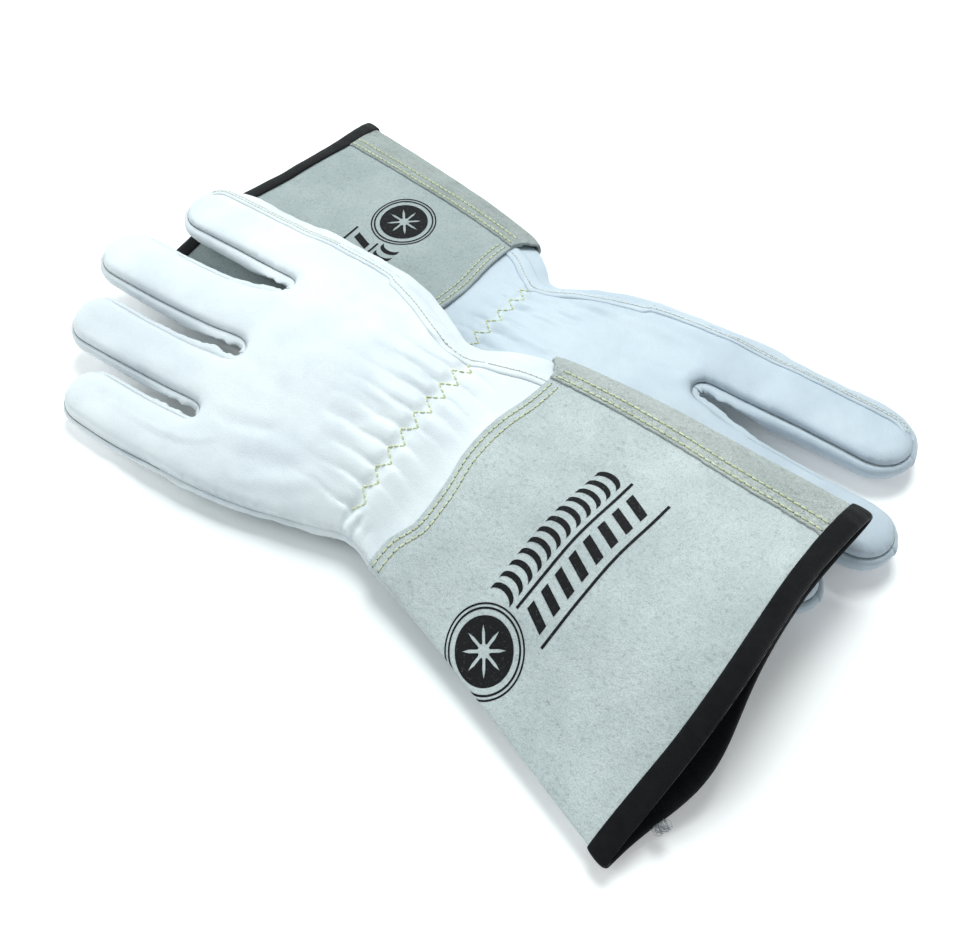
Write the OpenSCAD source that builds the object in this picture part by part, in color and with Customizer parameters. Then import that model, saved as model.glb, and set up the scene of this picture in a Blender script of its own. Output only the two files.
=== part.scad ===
// Pair of leather welding gauntlets: the left glove lies across the right one, both palm down.
// Each glove is drawn in its own frame and then laid in place.
// Glove frame: u runs along the glove, 0 at the wrist gather and + towards the fingertips;
// v runs across it, + towards the index finger; w is the height above the glove's rest plane.

/* [Leather] */
// Thickness of the hand leather and of the cuff suede
leather = 1.2; // [0.8:0.1:1.6]
// Free gap between two pieces that meet at a knuckle or at the cuff seam
split_gap = 0.6; // [0.4:0.1:1]

/* [Hand] */
// Where the finger tubes start, from the wrist gather
knuckle_u = 85; // [82:1:90]
// Height of the hand over the tucked thumb
hand_top = 21.5; // [20:0.5:24]
// Height of the gathered wrist
wrist_top = 18.5; // [17:0.5:20]
// Height of the fingers at their tips
finger_top = 16.5; // [15:0.5:18]

/* [Cuff] */
// Where the suede cuff starts, behind the wrist gather
cuff_u = -28; // [-32:1:-24]
// Where the hem is, on the middle line of the cuff
hem_u = -158; // [-170:1:-150]
// How much the hem runs out of square, in mm per mm across
hem_slant = 0.07; // [0:0.01:0.1]
// Height of the cuff in the middle of its length
cuff_top = 16; // [14:0.5:18]
// Width of the hem binding
binding_w = 9; // [7:0.5:12]

/* [Lay] */
// Turn of the right glove from the line of the left cuff, in degrees
right_turn = 6.7; // [6:0.1:8]
// Turn of the left hand from the line of its own cuff, in degrees
left_bend = -9.9; // [-10:0.1:-9]
// Width over which the left glove comes down from the right glove to the floor
drape_w = 80; // [76:1:84]

/* [Hidden] */
HAND_PARTS = [
    "back_panel", "palm_panel", "thumb_back", "thumb_front", "wrist_elastic", "wrist_stitching"
];
FINGER_PARTS = [
    "index_back", "index_front", "index_inner_wall",
    "middle_back", "middle_front", "middle_outer_wall", "middle_inner_wall",
    "ring_back", "ring_front", "ring_outer_wall", "ring_inner_wall",
    "little_back", "little_front", "little_outer_wall"
];
CUFF_PARTS = [
    "cuff_back_panel", "cuff_palm_panel", "cuff_binding",
    "cuff_front_stitching", "cuff_side_stitching", "cuff_print"
];
PARTS = concat(HAND_PARTS, FINGER_PARTS, CUFF_PARTS);

// Centre of the pair's box, which becomes the origin
centre = [-10.6, 33.7];
// Wrist of the right glove, from the wrist of the left one
right_wrist = [-20, 63];

// Edges of the glove across its width, and its underside and top, along u
near_edge = [[-165, -65], [-28, -47], [0, -46], [25, -52], [55, -59], [85, -62]];
far_edge = [[-165, 92], [-28, 70], [4, 52], [27, 60], [57, 66], [85, 70]];
underside = [[-165, 1], [-90, 1], [-28, 2], [0, 3], [28, 9], [98, 9], [124, 0], [190, 0]];
upside = [
    [-165, cuff_top - 2], [-90, cuff_top], [-28, cuff_top + 1], [0, wrist_top],
    [30, hand_top], [85, hand_top], [112, finger_top + 1.5], [190, finger_top]
];

// Fingers: tip u, centre v at the base, centre v at the tip, half width
FINGER = [[172, 52, 57, 18], [186, 11.5, 11.5, 15], [173, -21, -23, 12.5], [149, -50, -52, 13]];
INDEX = 0;
MIDDLE = 1;
RING = 2;
LITTLE = 3;

// Places round a tube: 0 is its far edge, 1 its top, 2 its near edge and 3 its underside
hand_seam = 0.34;
cuff_seam = 0.5;
finger_seam = 0.45;
index_seam = 0.55;
roundness = 3;
seam_gap = 0.006;

function smooth(t) = let (c = min(max(t, 0), 1)) c * c * (3 - 2 * c);
function mix(a, b, t) = a + (b - a) * t;
function steps(a, b, n) = [for (i = [0:n]) mix(a, b, i / n)];

// Unit section of a tube at place q: across and up, each from -1 to 1
function section(q) =
    let (p = q % 4)
    let (x = p <= 2 ? sin(90 * (1 - p)) : sin(90 * (p - 3)))
    let (z = pow(max(0, 1 - pow(abs(x), roundness)), 1 / roundness))
    [x, p <= 2 ? z : -z];

// Point of the hand and cuff tube, inset by depth into its wall
function tube_point(u, q, depth) =
    let (near = lookup(u, near_edge), far = lookup(u, far_edge))
    let (low = lookup(u, underside), high = lookup(u, upside), s = section(q))
    [u, (near + far) / 2 + ((far - near) / 2 - depth) * s[0],
     (low + high) / 2 + ((high - low) / 2 - depth) * s[1]];

function hem_at(v) = hem_u + hem_slant * v;

// Point of the cuff, t from 0 at its front edge to 1 at the hem
function cuff_point(t, q, depth) =
    let (start = cuff_u - split_gap / 2)
    let (rough = tube_point(mix(start, hem_u, t), q, depth))
    tube_point(mix(start, hem_at(rough[1]), t), q, depth);

// Point of a finger, t from 0 at the knuckle to 1 at the tip, which is round in plan
function finger_point(f, t, q, depth) =
    let (start = knuckle_u + split_gap / 2, length = f[0] - start, round_from = 1 - f[3] / length)
    let (c = max(0, (t - round_from) / (1 - round_from)))
    let (cap = sqrt(max(0, 1 - c * c)), s = section(q))
    let (u = start + length * t - (t > 0.5 ? depth * t : 0))
    let (low = lookup(u, underside), high = lookup(u, upside))
    let (half_w = max(f[3] * cap - depth, 0.9 - depth / 2))
    let (half_h = max((high - low) / 2 * sqrt(cap) - depth, 0.9 - depth / 2))
    [u, mix(f[1], f[2], t) + half_w * s[0], (low + high) / 2 + half_h * s[1]];

// The thumb is tucked under the palm, slanting from the far edge to the fingers
thumb_from = [30, 44];
thumb_to = [92, 12];
thumb_half_w = 15;
thumb_low = 0;
thumb_high = 8.4;
function thumb_point(t, q, depth) =
    let (axis = thumb_to - thumb_from, length = norm(axis), along = axis / length)
    let (c = max(0, (t - 0.75) / 0.25), cap = sqrt(max(0, 1 - c * c)), s = section(q))
    let (half_w = max(thumb_half_w * cap - depth, 0.9 - depth / 2))
    let (half_h = max((thumb_high - thumb_low) / 2 * sqrt(cap) - depth, 0.9 - depth / 2))
    let (p = thumb_from + along * (length * t - (t > 0.5 ? depth * t : 0)))
    let (side = [-along[1], along[0]] * half_w * s[0])
    [p[0] + side[0], p[1] + side[1], (thumb_low + thumb_high) / 2 + half_h * s[1]];

// Height of the hand or cuff's top at a place on it
function top_at(u, v) =
    let (near = lookup(u, near_edge), far = lookup(u, far_edge))
    let (low = lookup(u, underside), high = lookup(u, upside))
    let (x = min(1, abs(v - (near + far) / 2) / ((far - near) / 2)))
    (low + high) / 2 + (high - low) / 2 * pow(1 - pow(x, roundness), 1 / roundness);

// Where the right glove's near edge runs, and how high the left glove rides over it
function edge_under(x) = x > -48 ? 15 : 15 + (x + 48) * 0.26;
function ride_height(x) = mix(16.2, 22, smooth((x + 150) / 120));
function lift(x, y) = ride_height(x) * smooth((y - edge_under(x) - 2 + drape_w) / drape_w);

// Turns the left hand a little about its wrist, in the plane
function bent(u, v) =
    let (a = left_bend * smooth((u + 28) / 36))
    [u * cos(a) - v * sin(a), u * sin(a) + v * cos(a)];

// From the glove frame to the place where each glove lies
function lay_right(p) =
    let (c = cos(right_turn), s = sin(right_turn))
    [right_wrist[0] + p[0] * c - p[1] * s - centre[0],
     right_wrist[1] + p[0] * s + p[1] * c - centre[1], p[2]];
function lay_left(p) =
    let (b = bent(p[0], p[1]))
    [-b[0] - centre[0], b[1] - centre[1], p[2] + lift(-b[0], b[1])];
function lay(side, p) = side == "right" ? lay_right(p) : lay_left(p);

function flipped(face, flip) = flip ? [face[0], face[2], face[1]] : face;

// Closed plate between two grids of points that have the same rows and columns
module plate(side, outer, inner) {
    rows = len(outer);
    cols = len(outer[0]);
    back = rows * cols;
    points = [for (row = outer) for (p = row) lay(side, p), for (row = inner) for (p = row) lay(side, p)];
    function at(i, j) = i * cols + j;
    skin = [for (i = [0:rows - 2]) for (j = [0:cols - 2]) for (f = [
        [at(i, j), at(i, j + 1), at(i + 1, j + 1)],
        [at(i, j), at(i + 1, j + 1), at(i + 1, j)]
    ]) f];
    lining = [for (f = skin) [f[0] + back, f[2] + back, f[1] + back]];
    rim = concat(
        [for (j = [0:cols - 2]) [at(0, j + 1), at(0, j)]],
        [for (j = [0:cols - 2]) [at(rows - 1, j), at(rows - 1, j + 1)]],
        [for (i = [0:rows - 2]) [at(i, 0), at(i + 1, 0)]],
        [for (i = [0:rows - 2]) [at(i + 1, cols - 1), at(i, cols - 1)]]
    );
    edges = [for (e = rim) for (f = [[e[0], e[1], e[1] + back], [e[0], e[1] + back, e[0] + back]]) f];
    faces = [for (f = concat(skin, lining, edges)) flipped(f, side == "right")];
    polyhedron(points, faces);
}

// Closed ring swept through loops of points
module ring(side, loops) {
    turns = len(loops);
    n = len(loops[0]);
    points = [for (loop = loops) for (p = loop) lay(side, p)];
    function at(i, j) = (i % turns) * n + j % n;
    faces = [for (i = [0:turns - 1]) for (j = [0:n - 1]) for (f = [
        [at(i, j), at(i, j + 1), at(i + 1, j + 1)],
        [at(i, j), at(i + 1, j + 1), at(i + 1, j)]
    ]) flipped(f, side == "right")];
    polyhedron(points, faces);
}

// Part of the hand's tube between two places round it
module hand_piece(side, from, to, cells, shallow, deep, u_from, u_to, u_cells) {
    us = steps(u_from, u_to, u_cells);
    qs = steps(from + seam_gap, to - seam_gap, cells);
    plate(side, [for (u = us) [for (q = qs) tube_point(u, q, shallow)]],
          [for (u = us) [for (q = qs) tube_point(u, q, deep)]]);
}

module cuff_piece(side, from, to, cells) {
    ts = steps(0, 1, 8);
    qs = steps(from + seam_gap, to - seam_gap, cells);
    plate(side, [for (t = ts) [for (q = qs) cuff_point(t, q, 0)]],
          [for (t = ts) [for (q = qs) cuff_point(t, q, leather)]]);
}

// Stations along a finger or thumb, closer together round the tip
tip_stations = [0, 0.14, 0.28, 0.42, 0.56, 0.7, 0.8, 0.87, 0.93, 0.97, 1];

module finger_piece(side, f, from, to, cells) {
    qs = steps(from + seam_gap, to - seam_gap, cells);
    plate(side, [for (t = tip_stations) [for (q = qs) finger_point(f, t, q, 0)]],
          [for (t = tip_stations) [for (q = qs) finger_point(f, t, q, leather)]]);
}

module thumb_piece(side, from, to) {
    qs = steps(from + seam_gap, to - seam_gap, 8);
    plate(side, [for (t = tip_stations) [for (q = qs) thumb_point(t, q, 0)]],
          [for (t = tip_stations) [for (q = qs) thumb_point(t, q, leather)]]);
}

// Flat strip that follows a path on the glove's top
module strip(side, path, width, low, high) {
    n = len(path);
    function along(i) = let (d = path[min(i + 1, n - 1)] - path[max(i - 1, 0)]) d / norm(d);
    function side_point(i, across, up) =
        let (d = along(i), p = path[i] + [-d[1], d[0]] * across)
        [p[0], p[1], top_at(p[0], p[1]) + up];
    plate(side, [for (i = [0:n - 1]) [for (k = [0.5, -0.5]) side_point(i, k * width, high)]],
          [for (i = [0:n - 1]) [for (k = [0.5, -0.5]) side_point(i, k * width, low)]]);
}

/* ---- Pieces of the hand ---- */
hand_start = cuff_u + split_gap / 2;
hand_end = knuckle_u - split_gap / 2;

module back_panel(side) {
    color("whitesmoke") hand_piece(side, hand_seam, 2, 14, 0, leather, hand_start, hand_end, 12);
}
module palm_panel(side) {
    color("white") hand_piece(side, 2, 4 + hand_seam, 18, 0, leather, hand_start, hand_end, 12);
}
module thumb_back(side) {
    color("whitesmoke") thumb_piece(side, 0, 2);
}
module thumb_front(side) {
    color("white") thumb_piece(side, 2, 4);
}
elastic_from = leather + 0.4;
module wrist_elastic(side) {
    color("ivory") hand_piece(side, 0.5, 1.5, 8, elastic_from, elastic_from + 1, -7, 1, 2);
}

// Zigzag of nine teeth over the elastic
thread_w = 0.8;
thread_low = 0.5;
thread_high = 1;
zigzag_teeth = 9;
zigzag_half = 37;
zigzag_depth = 6;
module wrist_stitching(side) {
    pitch = 2 * zigzag_half / zigzag_teeth;
    path = [for (i = [0:2 * zigzag_teeth])
        [i % 2 == 0 ? -0.5 : -0.5 - zigzag_depth, zigzag_half - i * pitch / 2]];
    color("khaki") strip(side, path, thread_w, thread_low, thread_high);
}

/* ---- Pieces of the fingers ---- */
module index_back(side) {
    color("whitesmoke") finger_piece(side, FINGER[INDEX], index_seam, 2 - finger_seam, 6);
}
module index_front(side) {
    color("white") finger_piece(side, FINGER[INDEX], 2 + finger_seam, 4 + index_seam, 10);
}
module index_inner_wall(side) {
    color("gainsboro") finger_piece(side, FINGER[INDEX], 2 - finger_seam, 2 + finger_seam, 4);
}
module middle_back(side) {
    color("whitesmoke") finger_piece(side, FINGER[MIDDLE], finger_seam, 2 - finger_seam, 6);
}
module middle_front(side) {
    color("white") finger_piece(side, FINGER[MIDDLE], 2 + finger_seam, 4 - finger_seam, 6);
}
module middle_outer_wall(side) {
    color("gainsboro") finger_piece(side, FINGER[MIDDLE], 4 - finger_seam, 4 + finger_seam, 4);
}
module middle_inner_wall(side) {
    color("gainsboro") finger_piece(side, FINGER[MIDDLE], 2 - finger_seam, 2 + finger_seam, 4);
}
module ring_back(side) {
    color("whitesmoke") finger_piece(side, FINGER[RING], finger_seam, 2 - finger_seam, 6);
}
module ring_front(side) {
    color("white") finger_piece(side, FINGER[RING], 2 + finger_seam, 4 - finger_seam, 6);
}
module ring_outer_wall(side) {
    color("gainsboro") finger_piece(side, FINGER[RING], 4 - finger_seam, 4 + finger_seam, 4);
}
module ring_inner_wall(side) {
    color("gainsboro") finger_piece(side, FINGER[RING], 2 - finger_seam, 2 + finger_seam, 4);
}
module little_back(side) {
    color("whitesmoke") finger_piece(side, FINGER[LITTLE], finger_seam, 2, 7);
}
module little_front(side) {
    color("white") finger_piece(side, FINGER[LITTLE], 2, 4 - finger_seam, 7);
}
module little_outer_wall(side) {
    color("gainsboro") finger_piece(side, FINGER[LITTLE], 4 - finger_seam, 4 + finger_seam, 4);
}

/* ---- Pieces of the cuff ---- */
module cuff_back_panel(side) {
    color("lightsteelblue") cuff_piece(side, cuff_seam, 2, 14);
}
module cuff_palm_panel(side) {
    color("lightslategray") cuff_piece(side, 2, 4 + cuff_seam, 18);
}

// Binding: a folded tape whose two legs hold the hem of both cuff panels
module cuff_binding(side) {
    inside = leather + 1.2;
    outside = -1;
    fold = 1.6;
    slot = 0.4;
    clear = 0.4;
    profile = [
        [binding_w, outside], [0, outside], [-fold, leather / 2], [0, inside], [binding_w, inside],
        [binding_w, leather + clear], [-slot, leather + clear], [-slot, -clear], [binding_w, -clear]
    ];
    length = cuff_u - hem_u;
    places = steps(0, 4, 36);
    loops = [for (k = [0:35]) [for (p = profile) cuff_point(1 - p[0] / length, places[k], p[1])]];
    color("black") ring(side, loops);
}

seam_v = [[-158, 65], [-28, 54]];
module cuff_front_stitching(side) {
    color("khaki") for (back = [2, 5.5])
        strip(side, [for (v = steps(52, -42, 14)) [cuff_u - back, v]], thread_w, thread_low, thread_high);
}
module cuff_side_stitching(side) {
    color("khaki") for (out = [2.5, 6])
        strip(side, [for (u = steps(-32, -142, 10)) [u, lookup(u, seam_v) + out]],
              thread_w, thread_low, thread_high);
}

// Printed motif: an open ring with a dot, and a row of weld beads between two rules
print_low = 0.85;
print_high = 1.15;
badge_u = -84;
badge_v = -37;
badge_r = 15;
module cuff_print(side) {
    // the same print sits on both gloves, so on the right one it starts on the far side
    turn = side == "left" ? 1 : -1;
    function placed(p) = [p[0], turn * p[1]];
    color("black") {
        strip(side, [for (a = steps(12, 348, 20))
            placed([badge_u + badge_r * cos(a), badge_v + badge_r * sin(a)])],
            2, print_low, print_high);
        strip(side, [for (x = steps(-7, 7, 4)) placed([badge_u + x, badge_v])],
            13, print_low, print_high);
        for (rule_u = [-82, -97])
            strip(side, [for (v = steps(-20, 36, 8)) placed([rule_u, v])], 1.4, print_low, print_high);
        for (v = [-15:8:33])
            strip(side, [for (u = steps(-94, -85, 2)) placed([u, v])], 4.5, print_low, print_high);
    }
}

module glove_part(side, part) {
    if (part == "back_panel") back_panel(side);
    if (part == "palm_panel") palm_panel(side);
    if (part == "thumb_back") thumb_back(side);
    if (part == "thumb_front") thumb_front(side);
    if (part == "wrist_elastic") wrist_elastic(side);
    if (part == "wrist_stitching") wrist_stitching(side);
    if (part == "index_back") index_back(side);
    if (part == "index_front") index_front(side);
    if (part == "index_inner_wall") index_inner_wall(side);
    if (part == "middle_back") middle_back(side);
    if (part == "middle_front") middle_front(side);
    if (part == "middle_outer_wall") middle_outer_wall(side);
    if (part == "middle_inner_wall") middle_inner_wall(side);
    if (part == "ring_back") ring_back(side);
    if (part == "ring_front") ring_front(side);
    if (part == "ring_outer_wall") ring_outer_wall(side);
    if (part == "ring_inner_wall") ring_inner_wall(side);
    if (part == "little_back") little_back(side);
    if (part == "little_front") little_front(side);
    if (part == "little_outer_wall") little_outer_wall(side);
    if (part == "cuff_back_panel") cuff_back_panel(side);
    if (part == "cuff_palm_panel") cuff_palm_panel(side);
    if (part == "cuff_binding") cuff_binding(side);
    if (part == "cuff_front_stitching") cuff_front_stitching(side);
    if (part == "cuff_side_stitching") cuff_side_stitching(side);
    if (part == "cuff_print") cuff_print(side);
}

for (side = ["right", "left"]) {
    for (part = PARTS) {
        glove_part(side, part);
    }
}
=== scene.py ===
"""Looks of a pair of leather welding gauntlets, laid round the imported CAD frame.

Each glove is drawn once in its own frame, in millimetres, and then laid in place:
u runs along the glove, 0 at the wrist gather and + to the fingertips; v runs across it,
+ to the index finger; w is the height above the glove's rest plane.
"""
import math

import bpy
import numpy as np
from mathutils import Matrix, Vector
from mathutils.bvhtree import BVHTree
from mathutils.geometry import delaunay_2d_cdt
from mathutils.kdtree import KDTree


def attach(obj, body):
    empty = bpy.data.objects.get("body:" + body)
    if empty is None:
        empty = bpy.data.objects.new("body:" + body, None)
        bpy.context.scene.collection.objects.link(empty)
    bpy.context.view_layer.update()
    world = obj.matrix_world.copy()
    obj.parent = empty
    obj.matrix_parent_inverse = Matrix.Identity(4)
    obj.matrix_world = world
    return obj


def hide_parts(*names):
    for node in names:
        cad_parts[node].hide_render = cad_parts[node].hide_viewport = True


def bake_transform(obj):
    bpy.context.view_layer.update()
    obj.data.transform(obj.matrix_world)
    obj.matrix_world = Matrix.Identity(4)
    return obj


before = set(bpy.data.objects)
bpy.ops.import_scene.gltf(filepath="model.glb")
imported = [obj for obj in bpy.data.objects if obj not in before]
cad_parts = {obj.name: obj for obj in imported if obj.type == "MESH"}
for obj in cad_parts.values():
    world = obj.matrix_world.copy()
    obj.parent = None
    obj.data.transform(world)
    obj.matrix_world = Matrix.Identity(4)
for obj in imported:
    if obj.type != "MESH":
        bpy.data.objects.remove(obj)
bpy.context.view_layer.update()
MM = 0.001

# ---------------------------------------------------------------- design values
# places along a glove: the cuff's front end, its hem, the knuckles and the end of the hand at the wrist
CUFF_U = -28.0
HEM_U = -158.0
HEM_SLANT = 0.07
KNUCKLE_U = 85.0
FLARE_U = -7.5
# thicknesses
LEATHER = 1.1
SUEDE = 1.3
# edges and heights of the glove's tube along u
NEAR_EDGE = [(-165, -65), (-28, -47), (0, -46), (25, -52), (55, -59), (85, -62), (200, -66)]
FAR_EDGE = [(-165, 92), (-28, 70), (4, 52), (27, 60), (57, 66), (85, 70), (200, 78)]
UNDERSIDE = [(-165, 1), (-90, 1), (-28, 2), (0, 3), (28, 9), (98, 9), (124, 0), (200, 0)]
UPSIDE = [(-165, 14), (-90, 16), (-28, 17), (0, 18.5), (30, 21.5), (85, 21.5), (112, 18), (190, 16.5)]
# where the two gloves lie
CENTRE = np.array([-10.6, 33.7])
RIGHT_WRIST = np.array([-20.0, 63.0])
RIGHT_TURN = math.radians(6.7)
LEFT_BEND = math.radians(-9.9)
BEND_START, BEND_RUN = -28.0, 36.0
DRAPE_W = 80.0
FINGERS = ["index", "middle", "ring", "little"]
NOISE_SEED = {"left": 3, "right": 17}
UP = np.array([0, 0, 1.0])


# ---------------------------------------------------------------- small maths
def smooth(t):
    c = np.clip(t, 0, 1)
    return c * c * (3 - 2 * c)


def mix(a, b, t):
    return a + (b - a) * t


def curve(x, table):
    """A smooth line through a table of (x, value), with no overshoot."""
    xs, ys = (np.array(c, float) for c in zip(*table))
    x = np.clip(x, xs[0], xs[-1])
    step, rise = np.diff(xs), np.diff(ys)
    slope = rise / step
    tangent = np.zeros_like(ys)
    tangent[0], tangent[-1] = slope[0], slope[-1]
    same = slope[1:] * slope[:-1] > 0
    total = np.where(same, slope[1:] + slope[:-1], 1)
    tangent[1:-1] = np.where(same, 2 * slope[1:] * slope[:-1] / total, 0)
    k = np.clip(np.searchsorted(xs, x, side="right") - 1, 0, len(step) - 1)
    t = (x - xs[k]) / step[k]
    a, b = ys[k], ys[k + 1]
    m, n = tangent[k] * step[k], tangent[k + 1] * step[k]
    return a + t * (m + t * (3 * (b - a) - 2 * m - n + t * (m + n - 2 * (b - a))))


def noise2(x, y, seed=0):
    """Gradient noise in the plane, about -1 to 1, the same at every run."""
    x, y = np.broadcast_arrays(np.asarray(x, float), np.asarray(y, float))
    i, j = np.floor(x).astype(np.int64), np.floor(y).astype(np.int64)
    f, g = x - i, y - j

    def corner(a, b):
        h = ((i + a) * 374761393 + (j + b) * 668265263 + seed * 982451653) & 0x7FFFFFFF
        h = ((h ^ (h >> 13)) * 1274126177) & 0x7FFFFFFF
        turn = (h ^ (h >> 16)) / 0x7FFFFFFF * 2 * math.pi
        return np.cos(turn) * (f - a) + np.sin(turn) * (g - b)

    s, t = f * f * f * (f * (f * 6 - 15) + 10), g * g * g * (g * (g * 6 - 15) + 10)
    return 1.5 * mix(mix(corner(0, 0), corner(1, 0), s), mix(corner(0, 1), corner(1, 1), s), t)


def bump(x, centre, width):
    return np.exp(-(((x - centre) / width) ** 2))


# ---------------------------------------------------------------- from glove frame to its place
def ride_height(x):
    """How far the left glove is raised, lying on the right one. The CAD raises it up to 1.7 mm more."""
    return mix(14.5, 21.5, smooth((x + 150) / 120))


def edge_under(x):
    """The edge of the right glove that the left one drapes over, with its corner rounded."""
    soft = 12.0
    return 15 - 0.26 * soft * np.log1p(np.exp(-(x + 48) / soft))


def lift(x, y):
    """How far a place of the left glove is raised. It sinks to the floor past the right glove's edge."""
    return ride_height(x) * smooth((y - edge_under(x) - 2 + DRAPE_W) / DRAPE_W)


def lay(side, p):
    """Points of a glove, (n, 3) in millimetres, at the place where that glove lies, in metres."""
    p = np.asarray(p, float)
    if side == "left":
        a = LEFT_BEND * smooth((p[:, 0] - BEND_START) / BEND_RUN)
        x = -(p[:, 0] * np.cos(a) - p[:, 1] * np.sin(a))
        y = p[:, 0] * np.sin(a) + p[:, 1] * np.cos(a)
        z = p[:, 2] + lift(x, y)
    else:
        c, s = math.cos(RIGHT_TURN), math.sin(RIGHT_TURN)
        x = RIGHT_WRIST[0] + p[:, 0] * c - p[:, 1] * s
        y = RIGHT_WRIST[1] + p[:, 0] * s + p[:, 1] * c
        z = p[:, 2]
    return np.stack([x - CENTRE[0], y - CENTRE[1], z], 1) * MM


def place(side, u, v, w=0.0):
    """One point of a glove at its place, in metres."""
    return Vector(lay(side, np.array([[u, v, w]]))[0])


# ---------------------------------------------------------------- plan of the back panel
def arc(centre, radius, start, end, n=14):
    turn = np.radians(np.linspace(start, end, n))
    return [(centre[0] + radius * math.cos(a), centre[1] + radius * math.sin(a)) for a in turn]


def plan_outline(step=1.5):
    """The back panel's edge, from the near side round the fingers to the far side, and its key places."""
    line = [(-37, -46), (-28, -45.5), (-14, -44.5), (0, -45), (12, -48.5)]
    line += [(25, -52), (40, -56), (55, -59), (72, -61.5)]
    keys = {"start": 0}

    def tip(name, reach, near, far):
        radius = (far - near) / 2
        middle = (near + far) / 2
        line.extend(arc((reach - radius, middle), radius, -90, 0))
        keys[name + "_tip"] = len(line) - 1
        line.extend(arc((reach - radius, middle), radius, 0, 90)[1:])

    def crotch(name, bottom, near, far):
        radius = (far - near) / 2
        line.extend(arc((bottom + radius, (near + far) / 2), radius, 270, 180, 9))
        keys[name] = len(line) - 1
        line.extend(arc((bottom + radius, (near + far) / 2), radius, 180, 90, 9)[1:])

    line.extend([(100, -63), (120, -64)])
    tip("little", 149, -64.0, -41.5)
    crotch("little_crotch", 83, -41.0, -32.5)
    line.extend([(110, -32.5), (140, -33.5)])
    tip("ring", 173, -34.0, -12.5)
    line.extend([(140, -12.8)])
    crotch("ring_crotch", 82, -12.0, -1.0)
    line.extend([(115, -1.0), (145, -1.5)])
    tip("middle", 186, -1.5, 24.0)
    line.extend([(150, 23.0), (120, 23.0)])
    crotch("middle_crotch", 86, 25.0, 36.0)
    line.extend([(110, 39.0), (130, 40.5), (150, 41.0)])
    tip("index", 173, 41.0, 68.0)
    line.extend([(140, 67.5), (115, 66.5), (98, 64.5), (85, 63), (70, 61.5), (56, 60), (45, 57.5)])
    line.extend([(34, 53.5), (23, 48.5)])
    line.extend([(14, 44.5), (6, 41.5), (-2, 41.5), (-9, 46), (-16, 52), (-23, 55.5), (-28, 57), (-37, 58)])
    keys["end"] = len(line) - 1
    points = np.array(line, float)
    # even steps along each stretch between two key places, so that the walls meet at them
    marks = sorted(keys.values())
    made, places = [], {}
    for a, b in zip(marks[:-1], marks[1:]):
        stretch = points[a:b + 1]
        run = np.r_[0, np.cumsum(np.linalg.norm(np.diff(stretch, axis=0), axis=1))]
        n = max(2, int(round(run[-1] / step)))
        at = np.linspace(0, run[-1], n + 1)[:-1]
        places[a] = len(made)
        made.extend(np.stack([np.interp(at, run, stretch[:, k]) for k in (0, 1)], 1))
    places[marks[-1]] = len(made)
    made.append(points[marks[-1]])
    made = np.array(made)
    for _ in range(6):
        made[1:-1] = (made[:-2] + 2 * made[1:-1] + made[2:]) / 4
    return made, {name: places[k] for name, k in keys.items()}


def outward(line):
    """For each point of a line, the direction out of the outline."""
    d = np.gradient(line, axis=0)
    d /= np.linalg.norm(d, axis=1)[:, None]
    return np.stack([d[:, 1], -d[:, 0]], 1)


OUTLINE, KEY = plan_outline()
OUT = outward(OUTLINE)
STRETCH = {
    "near": ("start", "little_tip"),
    "little_outer_wall": ("little_tip", "little_crotch"),
    "ring_inner_wall": ("little_crotch", "ring_tip"),
    "ring_outer_wall": ("ring_tip", "ring_crotch"),
    "middle_inner_wall": ("ring_crotch", "middle_tip"),
    "middle_outer_wall": ("middle_tip", "middle_crotch"),
    "index_inner_wall": ("middle_crotch", "index_tip"),
    "far": ("index_tip", "end"),
}


def edge_drop():
    """How far the back's edge lies below its top, and how far in it starts to fall, along the outline."""
    n = len(OUTLINE)
    drop, reach = np.full(n, 3.0), np.full(n, 7.5)
    u = OUTLINE[:, 0]
    near = np.arange(n) <= KEY["little_tip"]
    far = np.arange(n) >= KEY["index_tip"]
    near_drop = [(-40, 7.5), (-10, 8), (30, 10.5), (85, 10.5), (120, 8.5), (140, 7), (150, 3.4)]
    drop[near] = curve(u[near], near_drop)
    reach[near] = curve(u[near], [(-40, 22), (0, 24), (30, 27), (90, 21), (135, 12), (150, 8)])
    drop[far] = curve(u[far], [(-40, 2.5), (0, 3.5), (30, 3.2), (100, 3), (150, 3), (173, 3.2)])
    reach[far] = curve(u[far], [(-40, 22), (30, 14), (100, 10), (173, 8)])
    for _ in range(12):
        drop[1:-1] = (drop[:-2] + 2 * drop[1:-1] + drop[2:]) / 4
        reach[1:-1] = (reach[:-2] + 2 * reach[1:-1] + reach[2:]) / 4
    return drop, reach


DROP, REACH = edge_drop()


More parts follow.
